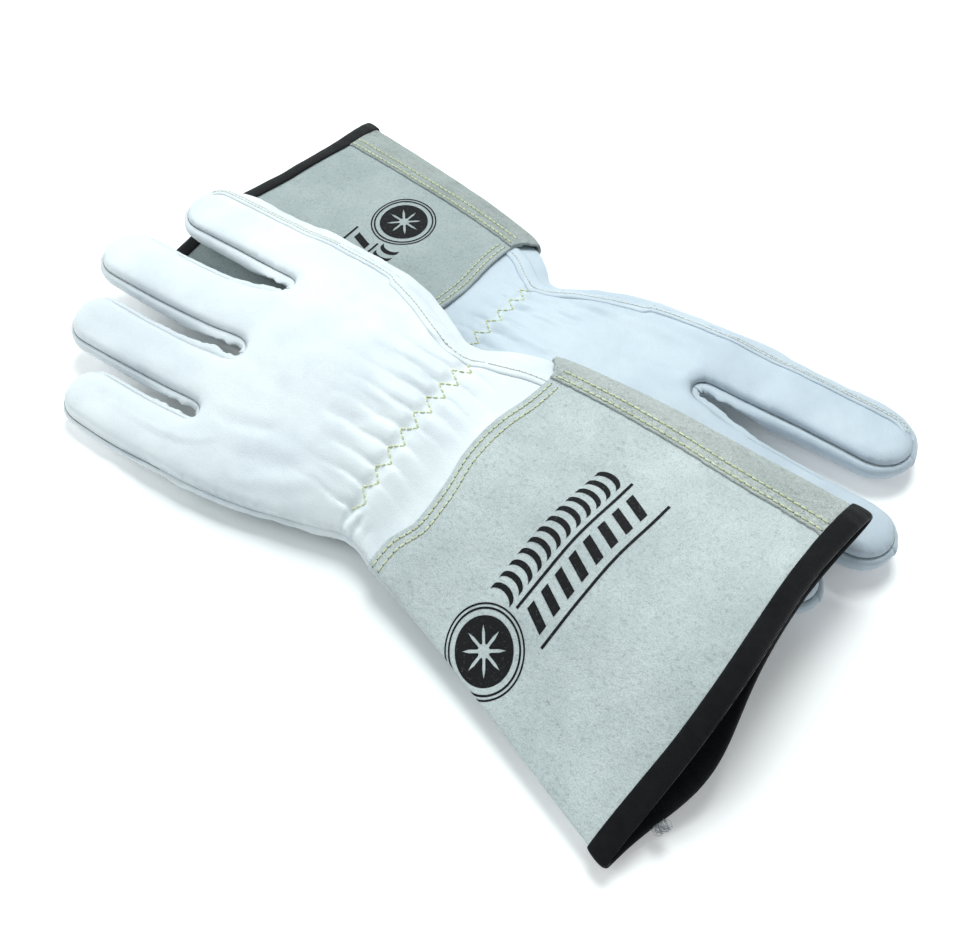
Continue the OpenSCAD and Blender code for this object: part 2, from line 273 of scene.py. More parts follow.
def fill_plan(coarse=1.5, fine=0.95, wrist_end=34):
    """The plan's points, triangles and edge values. The outline's points come first. The wrist is finer."""
    n = len(OUTLINE)
    low, high = OUTLINE.min(0), OUTLINE.max(0)
    closed = np.vstack([OUTLINE, OUTLINE[:1]])
    a, b = closed[:-1], closed[1:]
    inside = []
    for spacing, u_low, u_high in ((fine, -40, wrist_end), (coarse, wrist_end + 0.5 * coarse, 200)):
        rows = int((high[1] - low[1]) / (spacing * 0.866)) + 1
        for r in range(rows):
            y = low[1] + 0.4 * spacing + r * spacing * 0.866
            cut = (a[:, 1] <= y) != (b[:, 1] <= y)
            part = (y - a[cut, 1]) / (b[cut, 1] - a[cut, 1])
            xs = np.sort(a[cut, 0] + part * (b[cut, 0] - a[cut, 0]))
            for x0, x1 in zip(xs[0::2], xs[1::2]):
                line = np.arange(low[0] + 0.5 * (r % 2) * spacing, x1, spacing)
                line = line[(line > x0) & (line >= u_low) & (line < u_high)]
                inside.extend((x, y) for x in line)
    inside = np.array(inside)
    tree = KDTree(n)
    for i, p in enumerate(OUTLINE):
        tree.insert((p[0], p[1], 0), i)
    tree.balance()
    away = np.array([tree.find((p[0], p[1], 0))[2] for p in inside])
    inside = inside[away > 0.6 * np.where(inside[:, 0] < wrist_end, fine, coarse)]
    points = np.vstack([OUTLINE, inside])
    loop = [[i, (i + 1) % n] for i in range(n)]
    made = delaunay_2d_cdt([Vector(p) for p in points], loop, [list(range(n))], 1, 1e-5, True)
    origin = {k: src[0] for k, src in enumerate(made[3]) if src}
    faces = [[origin[k] for k in f] for f in made[2]]
    middle = np.array([points[f].mean(0) for f in faces])
    beyond = (a[:, 1] <= middle[:, 1:]) != (b[:, 1] <= middle[:, 1:])
    rise = np.where(a[:, 1] == b[:, 1], 1, b[:, 1] - a[:, 1])
    cut = a[:, 0] + (middle[:, 1:] - a[:, 1]) / rise * (b[:, 0] - a[:, 0])
    crossings = (beyond & (cut > middle[:, :1])).sum(1)
    faces = [f for f, c in zip(faces, crossings) if c % 2]
    near = []
    for p in points:
        found = tree.find_n((p[0], p[1], 0), 5)
        weight = np.array([1 / (0.6 + f[2] - found[0][2]) for f in found])
        values = np.array([[DROP[f[1]], REACH[f[1]]] for f in found]).T @ weight / weight.sum()
        near.append((found[0][2], *values))
    return points, faces, np.array(near)


PLAN, PLAN_FACES, EDGE = fill_plan()


# ---------------------------------------------------------------- heights
# the zigzag has 9 teeth, this far to each side of the middle, between these two places along the hand
ZIGZAG_HALF, TEETH = 37, 9
ZIGZAG_FRONT, ZIGZAG_BACK = -0.5, -6.8
PITCH = 2 * ZIGZAG_HALF / TEETH


def gather(u, v, seed):
    """Folds that the zigzag and its elastic draw in at the wrist, and the softer ones beyond them."""
    wander = 1.1 * noise2(u / 15, v / 13, seed) * smooth(np.abs(u + 3.5) / 12)
    turn = math.pi * (ZIGZAG_HALF - v + wander) / PITCH
    ahead, behind = np.abs(np.sin(turn)) ** 0.5, np.abs(np.cos(turn)) ** 0.5
    across = smooth((43 - np.abs(v)) / 7)
    size = 1 + 0.7 * noise2(v / 7, u / 50, seed + 3)
    reach_ahead = smooth((u + 3.2) / 4) * np.exp(-np.maximum(u - 2, 0) / 13)
    reach_behind = smooth((-3.8 - u) / 4) * np.exp(-np.maximum(-9 - u, 0) / 9)
    lobes = 2.3 * size * (ahead - 0.62) * reach_ahead + 1.4 * size * (behind - 0.6) * reach_behind
    run_out = np.exp(-np.abs(u - 14) / 16) + 0.8 * np.exp(-np.abs(u + 16) / 9)
    folds = 0.8 * noise2((v + 0.10 * u * np.sign(v)) / 6.5, u / 45, seed + 5) * run_out
    fine = 0.22 * noise2(v / 2.2, u / 14, seed + 6) * np.exp(-np.abs(u + 3.5) / 12)
    pinch = -1.3 * bump(u, -3.6, 3.6) - 0.7 * bump(u, -3.6, 13)
    flank = smooth((-34 - v) / 5)
    rows = bump(u, -1.5, 1.7) + 0.8 * bump(u, -9.5, 2.0) - 0.7 * bump(u, -5.5, 2.2) + 0.5 * bump(u, -17, 2.6)
    tucks = -1.5 * flank * rows
    return across * (pinch + lobes + fine) + smooth((50 - np.abs(v)) / 10) * folds + tucks


def creases(side, u, v):
    """The few long soft creases that each hand shows."""
    def line(a, b, width, height, tail=0.15):
        a, b = np.array(a, float), np.array(b, float)
        d = b - a
        t = ((u - a[0]) * d[0] + (v - a[1]) * d[1]) / (d @ d)
        off = ((u - a[0]) * -d[1] + (v - a[1]) * d[0]) / np.linalg.norm(d)
        off = off + 1.5 * noise2(t * 2.3, 0.5, 31)
        ends = smooth((t + tail) / (2 * tail)) * smooth((1 + tail - t) / (2 * tail))
        return height * ends * (np.exp(-((off / width) ** 2)) - 0.45 * np.exp(-((off / (2.4 * width)) ** 2)))

    if side == "left":
        return (
            line((74, -34), (46, -30), 3.0, -1.3) + line((60, -44), (26, -36), 3.5, -0.9)
            + line((78, -8), (52, -14), 4.0, -0.7) + line((40, 28), (16, 20), 4.0, 1.0)
            + line((70, 44), (36, 38), 5.0, 0.8) + line((30, -12), (12, -10), 3.0, -0.9)
            + line((52, -52), (20, -40), 3.0, 0.8)
        )
    return (
        line((8, 38), (78, 50), 4.5, 1.5) + line((4, 22), (30, 30), 2.6, -1.5)
        + line((10, 30), (40, 40), 3.0, -0.9) + line((80, 30), (60, 24), 3.5, -0.9)
        + line((30, 8), (10, 4), 3.0, 0.9)
    )


def skin_noise(u, v, seed):
    """The leather's soft unevenness, at three sizes."""
    broad = 0.75 * noise2(u / 34, v / 30, seed) + 0.32 * noise2(u / 13, v / 12, seed + 1)
    return broad + 0.1 * noise2(u / 5, v / 4.5, seed + 2)


def tube_sides(u):
    """Where the glove's tube has its near and far edge, its underside and its top."""
    return [curve(u, table) for table in (NEAR_EDGE, FAR_EDGE, UNDERSIDE, UPSIDE)]


def section(q):
    """Across and up on a rounded section, where q is 0 at its far edge, 1 on top, 2 near and 3 below."""
    p = np.mod(q, 4)
    top = p <= 2
    x = np.where(top, np.sin(math.pi / 2 * (1 - p)), np.sin(math.pi / 2 * (p - 3)))
    return x, np.cbrt(np.maximum(0, 1 - np.abs(x) ** 3)) * np.where(top, 1, -1)


def tube_top(u, v):
    """Height of the cuff's own tube over a place."""
    near, far, low, high = tube_sides(u)
    x = np.clip(np.abs(v - (near + far) / 2) / ((far - near) / 2), 0, 0.995)
    return (low + high) / 2 + (high - low) / 2 * np.cbrt(1 - x ** 3)


def edge_fall(away, drop, reach):
    """How far a hide has rolled down at a distance from its edge."""
    t = np.clip(away / reach, 0, 1)
    return drop * (1 - np.sqrt(np.maximum(0, 1 - (1 - t) ** 2.2)))


def back_height(side, u, v, edge):
    """Height of the back's outer face, which runs in under the cuff behind the wrist."""
    seed = NOISE_SEED[side]
    away, drop, reach = edge.T
    high = curve(u, UPSIDE)
    crown = 1.6 * (1 - ((v - 3) / 62) ** 2) * smooth((70 - u) / 60)
    hand = high - 0.6 + crown - edge_fall(away, drop, reach)
    under_cuff = tube_top(u, v) - SUEDE - 0.9
    part = smooth((u + 26) / 22)
    soft = smooth(away / 5)
    skin = skin_noise(u, v, seed) * smooth((u + 24) / 14)
    details = gather(u, v, seed) + soft * (creases(side, u, v) + skin)
    return mix(np.minimum(under_cuff, hand), hand, part) + details * mix(0.25, 1, part) * mix(0.35, 1, soft)


def palm_height(u, v, edge):
    """Height of the palm's outer face."""
    away, drop, reach = edge.T
    near_side = smooth((-28 - v) / 14) * smooth((u + 20) / 40) * smooth((128 - u) / 30)
    low = np.maximum(0.4, curve(u, UNDERSIDE) - 5.5 * near_side)
    fall = edge_fall(away, np.minimum(drop, 3.2), np.minimum(reach, 8))
    return low + 0.5 + fall + 0.35 * (1 + noise2(u / 20, v / 16, 40)) * smooth(away / 6)


# ---------------------------------------------------------------- meshes
def make_mesh(name, points, faces):
    mesh = bpy.data.meshes.new(name)
    mesh.from_pydata([tuple(p) for p in points], [], faces)
    mesh.validate()
    mesh.update()
    piece = bpy.data.objects.new(name, mesh)
    bpy.context.scene.collection.objects.link(piece)
    return piece


def applied(piece, *modifiers):
    """The piece with its modifiers applied."""
    for kind, values in modifiers:
        m = piece.modifiers.new(kind.lower(), kind)
        for key, value in values.items():
            setattr(m, key, value)
    graph = bpy.context.evaluated_depsgraph_get()
    mesh = bpy.data.meshes.new_from_object(piece.evaluated_get(graph))
    piece.modifiers.clear()
    old = piece.data
    piece.data = mesh
    bpy.data.meshes.remove(old)
    return piece


def point_up(points, faces, towards):
    """Turns all faces over if they look away from the given directions, one for each face."""
    p = np.asarray(points)
    f = np.array([x[:3] for x in faces])
    normal = np.cross(p[f[:, 1]] - p[f[:, 0]], p[f[:, 2]] - p[f[:, 0]])
    if (normal * towards).sum() < 0:
        return [list(reversed(x)) for x in faces]
    return faces


def shell(name, points, faces, thickness):
    """A sheet of leather: its outer face is where the points are, and it is as thick as it says."""
    piece = make_mesh(name, points, faces)
    piece.data.shade_smooth()
    applied(piece, ("SOLIDIFY", {"thickness": thickness * MM, "offset": -1, "use_even_offset": False}))
    piece.data.shade_smooth()
    return piece


def split(piece, label, names):
    """Cuts a finished piece along faces into pieces by label, each with the shading that the whole had."""
    mesh = piece.data
    co = np.array([v.co for v in mesh.vertices])
    normals = np.array([v.normal for v in mesh.vertices])
    faces = [list(p.vertices) for p in mesh.polygons]
    centres = np.array([co[f].mean(0) for f in faces])
    labels = label(centres)
    made = {}
    for k, name in names.items():
        chosen = [f for f, l in zip(faces, labels) if l == k]
        if not chosen:
            continue
        used = sorted(set(i for f in chosen for i in f))
        index = {old: new for new, old in enumerate(used)}
        part = make_mesh(name, co[used], [[index[i] for i in f] for f in chosen])
        part.data.shade_smooth()
        part.data.normals_split_custom_set_from_vertices([tuple(n) for n in normals[used]])
        made[k] = part
    bpy.data.objects.remove(piece)
    return made


def grid_faces(rows, cols, closed=False):
    last = cols if closed else cols - 1
    return [[i * cols + j, i * cols + (j + 1) % cols, (i + 1) * cols + (j + 1) % cols, (i + 1) * cols + j]
            for i in range(rows - 1) for j in range(last)]


def grid_shell(side, name, grid, thickness, centre):
    """A sheet from a grid of points in the glove frame. Its outer side faces away from the centre."""
    flat = grid.reshape(-1, 3)
    faces = grid_faces(*grid.shape[:2])
    base = flat[[f[0] for f in faces]]
    away = lay(side, base + 0.01 * (base - centre)) - lay(side, base)
    laid = lay(side, flat)
    return shell(name, laid, point_up(laid, faces, away), thickness)


# ---------------------------------------------------------------- materials
def linear(rgb):
    """A screen colour as the linear one that the shaders take."""
    return tuple(c / 12.92 if c <= 0.04045 else ((c + 0.055) / 1.055) ** 2.4 for c in rgb) + (1,)


class Nodes:
    """A material under construction: a Principled shader with object coordinates to hand."""

    def __init__(self, name, roughness, **values):
        self.material = bpy.data.materials.new(name)
        self.material.use_nodes = True
        self.tree = self.material.node_tree
        self.shader = self.tree.nodes["Principled BSDF"]
        self.shader.inputs["Roughness"].default_value = roughness
        for key, value in values.items():
            self.shader.inputs[key.replace("_", " ")].default_value = value
        self.coords = self.add("ShaderNodeTexCoord").outputs["Object"]

    def add(self, kind, **inputs):
        node = self.tree.nodes.new(kind)
        for key, value in inputs.items():
            socket = node.inputs[key.replace("_", " ")]
            if hasattr(value, "links"):
                self.tree.links.new(value, socket)
            else:
                socket.default_value = value
        return node

    def noise(self, scale, detail=4.0, rough=0.55):
        node = self.add("ShaderNodeTexNoise", Vector=self.coords, Scale=scale, Detail=detail, Roughness=rough)
        return node.outputs["Fac"]

    def cells(self, scale):
        node = self.add("ShaderNodeTexVoronoi", Vector=self.coords, Scale=scale)
        node.feature = "DISTANCE_TO_EDGE"
        return node.outputs["Distance"]

    def wave(self, scale, distortion, detail, bands="X"):
        shape = {"Scale": scale, "Distortion": distortion, "Detail": detail}
        node = self.add("ShaderNodeTexWave", Vector=self.coords, **shape)
        node.bands_direction = bands
        return node.outputs["Fac"]

    def ramp(self, fac, *stops):
        node = self.add("ShaderNodeValToRGB", Fac=fac)
        elements = node.color_ramp.elements
        while len(elements) < len(stops):
            elements.new(0.5)
        for element, (at, colour) in zip(elements, stops):
            element.position = at
            element.color = colour
        return node.outputs["Color"]

    def blend(self, kind, fac, a, b):
        node = self.tree.nodes.new("ShaderNodeMix")
        node.data_type = "RGBA"
        node.blend_type = kind
        for socket, value in ((node.inputs[0], fac), (node.inputs[6], a), (node.inputs[7], b)):
            if hasattr(value, "links"):
                self.tree.links.new(value, socket)
            else:
                socket.default_value = value
        return node.outputs[2]

    def bumps(self, *layers):
        """Adds (height, strength, distance) bumps one on another."""
        normal = None
        for height, strength, distance in layers:
            node = self.add("ShaderNodeBump", Height=height, Strength=strength, Distance=distance)
            if normal is not None:
                self.tree.links.new(normal, node.inputs["Normal"])
            normal = node.outputs["Normal"]
        self.tree.links.new(normal, self.shader.inputs["Normal"])

    def set(self, key, value):
        self.tree.links.new(value, self.shader.inputs[key])


def leather_material(name, tone, tint=(1, 1, 1)):
    m = Nodes(name, 0.5, Specular_IOR_Level=0.38, Sheen_Weight=0.08, Sheen_Roughness=0.5)
    light = linear([c * t * tone for c, t in zip((0.915, 0.94, 0.95), tint)])
    dark = linear([c * t * tone for c, t in zip((0.86, 0.89, 0.91), tint)])
    cloud = m.ramp(m.noise(24, 5), (0.35, dark), (0.62, light))
    pores = m.ramp(m.cells(1500), (0.0, (0.80, 0.82, 0.85, 1)), (0.10, (1, 1, 1, 1)))
    m.set("Base Color", m.blend("MULTIPLY", 0.35, cloud, pores))
    m.set("Roughness", m.ramp(m.noise(60, 6), (0.3, (0.42, 0.42, 0.42, 1)), (0.7, (0.58, 0.58, 0.58, 1))))
    soft = (m.noise(70, 4, 0.5), 0.14, 0.002)
    grain = (m.noise(520, 5, 0.6), 0.22, 0.0005)
    pebble = (m.cells(1150), 0.45, 0.0003)
    m.bumps(soft, grain, pebble)
    return m.material


def suede_material(name, light, dark, nap):
    m = Nodes(name, 0.95, Specular_IOR_Level=0.15, Sheen_Weight=0.35, Sheen_Roughness=0.6)
    cloud = m.ramp(m.noise(34, 8, 0.68), (0.30, linear(dark)), (0.66, linear(light)))
    fibres = m.ramp(m.noise(1900, 3, 0.7), (0.32, (0.52, 0.54, 0.54, 1)), (0.56, (1, 1, 1, 1)))
    specks = m.ramp(m.noise(620, 3, 0.6), (0.30, (0.62, 0.64, 0.64, 1)), (0.46, (1, 1, 1, 1)))
    m.set("Base Color", m.blend("MULTIPLY", 0.55, m.blend("MULTIPLY", 0.6, cloud, fibres), specks))
    fine = (m.noise(1500, 4, 0.7), 0.55 * nap, 0.0006)
    coarse = (m.noise(420, 5, 0.65), 0.5 * nap, 0.001)
    soft = (m.noise(70, 4), 0.12, 0.002)
    m.bumps(fine, coarse, soft)
    return m.material


def binding_material():
    m = Nodes("binding_black", 0.9, Specular_IOR_Level=0.25, Sheen_Weight=0.25, Sheen_Roughness=0.4)
    weave, cross = m.wave(520.0, 1.5, 2.0), m.wave(480.0, 1.0, 2.0, "Y")
    dark, light = linear((0.012, 0.014, 0.022)), linear((0.062, 0.066, 0.078))
    m.set("Base Color", m.ramp(m.noise(240, 5), (0.3, dark), (0.75, light)))
    m.bumps((weave, 0.35, 0.0004), (cross, 0.35, 0.0004), (m.noise(160, 5), 0.3, 0.0012))
    return m.material


def thread_material(name, dark, light):
    m = Nodes(name, 0.7, Sheen_Weight=0.3)
    twist = m.wave(900.0, 2.0, 1.0)
    m.set("Base Color", m.ramp(m.noise(300, 3), (0.3, linear(dark)), (0.7, linear(light))))
    m.bumps((twist, 0.5, 0.0002))
    return m.material


# painted shade: a flat dark grey, the shade inside a needle hole or a seam's groove
def painted_shade_material(name, grey):
    m = Nodes(name, 1.0, Specular_IOR_Level=0.0)
    dark = linear([grey * c for c in (0.80, 0.84, 0.86)])
    light = linear([grey * c for c in (1.15, 1.20, 1.22)])
    m.set("Base Color", m.ramp(m.noise(500, 2), (0.3, dark), (0.7, light)))
    return m.material


def ink_material():
    m = Nodes("print_black", 0.75, Specular_IOR_Level=0.2)
    worn, black = linear((0.30, 0.32, 0.33)), linear((0.09, 0.09, 0.10))
    m.set("Base Color", m.ramp(m.noise(900, 5, 0.7), (0.30, worn), (0.42, black)))
    m.bumps((m.noise(1500, 4, 0.7), 0.35, 0.0004))
    return m.material


def elastic_material():
    m = Nodes("elastic_band", 0.85)
    rib = m.wave(380.0, 0.4, 1.0)
    m.set("Base Color", m.ramp(rib, (0.2, linear((0.78, 0.77, 0.70))), (0.8, linear((0.92, 0.91, 0.86)))))
    m.bumps((rib, 0.5, 0.0005))
    return m.material


# painted shade: the right glove's leather and suede are darker, bluer copies of the left's, because less light
# falls on it
PAINTED_SHADE_TINT = (0.93, 0.96, 0.99)
MATERIAL = {
    # painted shade: on each glove the palm and the walls are darker copies of the back's leather, as they turn
    # away from the light
    "left_back": leather_material("leather_left_back", 1.0),
    "left_palm": leather_material("leather_left_palm", 0.985),
    "left_wall": leather_material("leather_left_walls", 0.965),
    "right_back": leather_material("leather_right_back", 0.93, PAINTED_SHADE_TINT),
    "right_palm": leather_material("leather_right_palm", 0.925, PAINTED_SHADE_TINT),
    "right_wall": leather_material("leather_right_walls", 0.91, PAINTED_SHADE_TINT),
    "left_suede": suede_material("suede_left_cuff", (0.84, 0.875, 0.875), (0.74, 0.78, 0.785), 1.0),
    # painted shade: the right cuff's suede and strip are darker copies of the left's
    "right_suede": suede_material("suede_right_cuff", (0.69, 0.73, 0.73), (0.62, 0.665, 0.67), 1.0),
    "left_strip": suede_material("suede_left_strip", (0.94, 0.97, 0.955), (0.79, 0.83, 0.82), 3.0),
    "right_strip": suede_material("suede_right_strip", (0.78, 0.82, 0.81), (0.66, 0.705, 0.695), 3.0),
    "binding": binding_material(),
    "thread": thread_material("thread_cream", (0.80, 0.82, 0.62), (0.93, 0.95, 0.78)),
    "white_thread": thread_material("thread_white", (0.86, 0.87, 0.83), (0.95, 0.95, 0.92)),
    "fluff": suede_material("frayed_fibre", (0.74, 0.76, 0.78), (0.52, 0.54, 0.56), 0.4),
    "hole": painted_shade_material("needle_hole", 0.38),
    # painted shadow: mid-grey for the seam's groove line, also used for the needle holes of the seam band
    "crease": painted_shade_material("seam_crease", 0.60),
    "ink": ink_material(),
    "elastic": elastic_material(),
}


def dress(piece, kind):
    """Gives a piece its material and slot. The right glove's leather and suede are darker, bluer copies of the
    left's, painted shade.
    """
    piece.data.materials.clear()
    side = piece.name.split("_")[0]
    piece.data.materials.append(MATERIAL.get(f"{side}_{kind}") or MATERIAL[kind])
    return piece


# ---------------------------------------------------------------- which body each part rides on
def hand_body(side):
    return "left_hand" if side == "left" else "right_glove"


def cuff_body(side):
    return "left_cuff" if side == "left" else "right_glove"


def finger_body(side, finger):
    if side == "left":
        return "left_" + finger
    return "right_index" if finger == "index" else "right_glove"


BLEND_LENGTH = 26.0
FINGER_LINE = {"index": 52.0, "middle": 11.5, "ring": -22.0, "little": -52.0}


def bend_between(side, piece, other, u_start, u_end, v):
    """Rides a piece on the hand where the other body is the hand; otherwise only bakes its place into its
    mesh, with no bend.
    """
    hand = hand_body(side)
    if hand == other:
        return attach(piece, hand)
    start, end = place(side, u_start, v), place(side, u_end, v)
    start.z = end.z = 0
    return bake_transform(piece)


def attach_finger(side, finger, piece):
    """A finger's piece, given to bend_between with the span round its knuckle."""
    body, v = finger_body(side, finger), FINGER_LINE[finger]
    return bend_between(side, piece, body, KNUCKLE_U - 1, KNUCKLE_U + BLEND_LENGTH, v)


def attach_flare(side, piece):
    """The leather between the wrist and the cuff, given to bend_between with the span between them."""
    return bend_between(side, piece, cuff_body(side), FLARE_U, CUFF_U - 1, 0)


def attach_part(side, k, piece):
    """Places a part by its label: 0 the hand, 1 to 4 the fingers from the index, 5 the flare."""
    if k == 0:
        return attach(piece, hand_body(side))
    if k == 5:
        return attach_flare(side, piece)
    return attach_finger(side, FINGERS[k - 1], piece)


def finish_part(piece, kind, body, node):
    """Dresses a piece that stands for one CAD node, and rides it on a body."""
    dress(piece, kind)
    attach(piece, body)
    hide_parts(node)


def glove_frame(side, points):
    """The plan place (u, v) of points that are laid, in metres."""
    p = np.asarray(points) / MM
    x, y = p[:, 0] + CENTRE[0], p[:, 1] + CENTRE[1]
    if side == "right":
        x, y = x - RIGHT_WRIST[0], y - RIGHT_WRIST[1]
        c, s = math.cos(RIGHT_TURN), math.sin(RIGHT_TURN)
        return np.stack([x * c + y * s, -x * s + y * c], 1)
    u, v = -x, y
    for _ in range(12):
        a = LEFT_BEND * smooth((u - BEND_START) / BEND_RUN)
        u, v = -x * np.cos(a) + y * np.sin(a), x * np.sin(a) + y * np.cos(a)
    return np.stack([u, v], 1)


CROTCH_V = [30.5, -6.5, -36.7]


def region(side):
    """Labels faces: 0 the hand, 1 to 4 the fingers from the index, 5 the flare."""
    def label(centres):
        u, v = glove_frame(side, centres).T
        finger = 1 + sum((v < c).astype(int) for c in CROTCH_V)
        return np.where(u > KNUCKLE_U, finger, np.where(u < FLARE_U, 5, 0))
    return label


# ---------------------------------------------------------------- the glove's pieces
def finish_hand_sheet(side, piece, kind, part):
    """Splits a sheet that runs over the whole hand, places each part, and hides the CAD node that it stands
    for.
    """
    names = {0: f"{side}_{part}_panel", 5: f"{side}_{part}_flare"}
    ending = "back" if part == "back" else "front"
    for k, finger in enumerate(FINGERS):
        names[k + 1] = f"{side}_{finger}_{ending}"
    for k, made in split(piece, region(side), names).items():
        dress(made, kind)
        attach_part(side, k, made)
        # the flare is part of the panel's CAD node
        if k != 5:
            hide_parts(names[k])


def back_sheet(side):
    """The whole back hide, before it is split."""
    u, v = PLAN.T
    w = back_height(side, u, v, EDGE)
    points = lay(side, np.stack([u, v, w], 1))
    return shell(f"{side}_back_whole", points, point_up(points, PLAN_FACES, UP), LEATHER)


def far_shift(u, v):
    """The palm reaches further out than the back on the far side, where it wraps up to the seam."""
    wide = curve(u, [(-40, 8), (-28, 8), (0, 8), (27, 5), (57, 3.5), (85, 3.5), (110, 5), (160, 5), (175, 0)])
    return wide * smooth((v - 38) / 18)


def palm_sheet_points():
    """The palm's points in the glove frame. Its edge is drawn in a little, under the walls."""
    u, v = PLAN.T
    w = palm_height(u, v, EDGE)
    draw_in = 1 - 0.02 * smooth(1 - EDGE[:, 0])
    return np.stack([u, (v + far_shift(u, v)) * draw_in, w], 1)


def wall_profile(side, name, first, last, table, turns=13):
    """Grid of a wall between the back's edge and the palm's edge, along a stretch of the outline."""
    at = np.arange(first, last + 1)
    edge = EDGE[at]
    top = np.stack([OUTLINE[at, 0], OUTLINE[at, 1], back_height(side, *OUTLINE[at].T, edge) - 0.55], 1)
    bottom = palm_sheet_points()[at]
    out = np.c_[OUT[at], np.zeros(len(at))]
    run = np.r_[0, np.cumsum(np.linalg.norm(np.diff(OUTLINE[at], axis=0), axis=1))]
    rows = []
    for r in np.linspace(0, 1, turns):
        swell = np.sin(math.pi * r ** 0.62) ** 0.8 if "wall" in name else np.sin(math.pi * r) ** 0.75
        b = curve(OUTLINE[at, 0], table) * swell
        if "wall" in name:
            near_crotch = 0.35 + 0.65 * smooth((125 - OUTLINE[at, 0]) / 30)
            pleat = 0.8 * noise2(run / 3.0, r * 1.6, 60) + 0.45 * noise2(run / 6.0, r * 2.0, 61)
            b = b + pleat * swell * near_crotch
        else:
            b = b + 0.5 * noise2(run / 9.0, r * 1.5, 62) * swell
        inset = -0.5 * (1 - r)
        rows.append(mix(top, bottom, r) + out * (b + inset)[:, None])
    return np.array(rows)


def seam_shadow_line(side, name, first, last):
    """A thin dark tube of painted shadow along the groove where the wall's seam turns in under the back
    panel's edge.
    """
    at = np.arange(first, last + 1)
    z = back_height(side, *OUTLINE[at].T, EDGE[at]) - 0.62
    path = [Vector(p) for p in lay(side, np.c_[OUTLINE[at] + OUT[at] * 0.12, z])]
    points, faces = tube(path, 0.00022)
    piece = make_mesh(name, points, faces)
    piece.data.shade_smooth()
    return dress(piece, "crease")


def wall_piece(side, name, first, last, table):
    """A wall along a stretch of the outline."""
    grid = wall_profile(side, name, first, last, table)
    rows, cols = grid.shape[:2]
    laid = lay(side, grid.reshape(-1, 3))
    faces = grid_faces(rows, cols)
    outwards = np.c_[OUT[first:last + 1], np.zeros(last + 1 - first)]
    middle = grid[rows // 2]
    away = (lay(side, middle + outwards) - lay(side, middle))
    towards = np.array([away[f[0] % cols] for f in faces])
    return shell(name, laid, point_up(laid, faces, towards), LEATHER)


# how far the two long sides stand out, by place along the glove
NEAR_BULGE = [(-40, 1.5), (0, 1.5), (50, 2.5), (150, 2.5)]
FAR_BULGE = [(-40, 6), (-28, 6), (0, 7), (27, 5.5), (57, 5), (85, 5), (108, 6), (150, 6.5), (173, 3)]
# and how far the walls stand into the gaps between the fingers
WALL_BULGE = {
    "little_outer_wall": 3.4, "ring_inner_wall": 3.4, "ring_outer_wall": 4.4,
    "middle_inner_wall": 4.4, "middle_outer_wall": 5.0, "index_inner_wall": 5.0,
}


def bulge_table(name):
    """How far a stretch of wall stands out, by place along the glove."""
    if name in WALL_BULGE:
        gap = WALL_BULGE[name]
        return [(80, 0.55 * gap), (88, 0.8 * gap), (98, 0.95 * gap), (130, 0.8 * gap), (186, 2.6)]
    return NEAR_BULGE if name == "near" else FAR_BULGE


def hand_pieces(side):
    """The back and palm hides and the walls. Returns the back's surface, for the stitches."""
    back = back_sheet(side)
    surface = BVHTree.FromObject(back, bpy.context.evaluated_depsgraph_get())
    finish_hand_sheet(side, back, "back", "back")
    points = lay(side, palm_sheet_points())
    palm = shell(f"{side}_palm_whole", points, point_up(points, PLAN_FACES, -UP), LEATHER)
    finish_hand_sheet(side, palm, "palm", "palm")
    for name, (a, b) in STRETCH.items():
        first, last = KEY[a], KEY[b]
        table = bulge_table(name)
        if name in WALL_BULGE:
            finger = name.split("_")[0]
            piece = dress(wall_piece(side, f"{side}_{name}", first, last, table), "wall")
            attach_finger(side, finger, piece)
            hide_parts(f"{side}_{name}")
            # the wall's seam line is a dark tube of painted shadow
            attach_finger(side, finger, seam_shadow_line(side, f"{side}_{name}_seam", first, last))
            continue
        if name == "near":
            turn = first + int(np.argmax(OUTLINE[first:last, 0] > KNUCKLE_U))
            attach_finger(side, "little", seam_shadow_line(side, f"{side}_little_near_seam", turn, last))
        whole = wall_piece(side, f"{side}_{name}_side_whole", first, last, table)
        names = {0: f"{side}_palm_{name}_side", 5: f"{side}_flare_{name}_side"}
        for k, finger in enumerate(FINGERS):
            names[k + 1] = f"{side}_{finger}_{name}_side"
        for k, part in split(whole, region(side), names).items():
            dress(part, "palm")
            attach_part(side, k, part)
    return surface


# the thumb's line in (u, v), then its half width, its middle's height, its half depth and where its tip starts
THUMB_START, THUMB_END = np.array([26.0, 47.0]), np.array([92.0, 12.0])
THUMB_HALF, THUMB_W, THUMB_DEPTH, THUMB_TIP = 14.5, 4.1, 3.8, 0.72


def thumb_pieces(side):
    """The thumb, tucked flat under the palm."""
    length = np.linalg.norm(THUMB_END - THUMB_START)
    along = (THUMB_END - THUMB_START) / length
    across = np.array([-along[1], along[0]])
    ts = np.sin(np.linspace(0, math.pi / 2, 34))
    for name, q0, q1, kind in (("thumb_back", 0, 2, "back"), ("thumb_front", 2, 4, "palm")):
        grid = []
        for t in ts:
            cap = math.sqrt(max(0.0, 1 - max(0.0, (t - THUMB_TIP) / 0.28) ** 2))
            q = np.linspace(q0, q1, 19)
            x, z = section(q)
            half = max(THUMB_HALF * cap, 0.6)
            p = THUMB_START + along * length * t
            rumple = 0.25 * noise2(t * 9, x * 3, 70)
            up = THUMB_W + (THUMB_DEPTH * math.sqrt(cap) + 0.2) * z + rumple * np.abs(z)
            grid.append(np.stack([p[0] + across[0] * half * x, p[1] + across[1] * half * x, up], 1))
        grid = np.array(grid)
        piece = grid_shell(side, f"{side}_{name}", grid, LEATHER, np.array([60.0, 29.0, THUMB_W]))
        finish_part(piece, kind, hand_body(side), f"{side}_{name}")


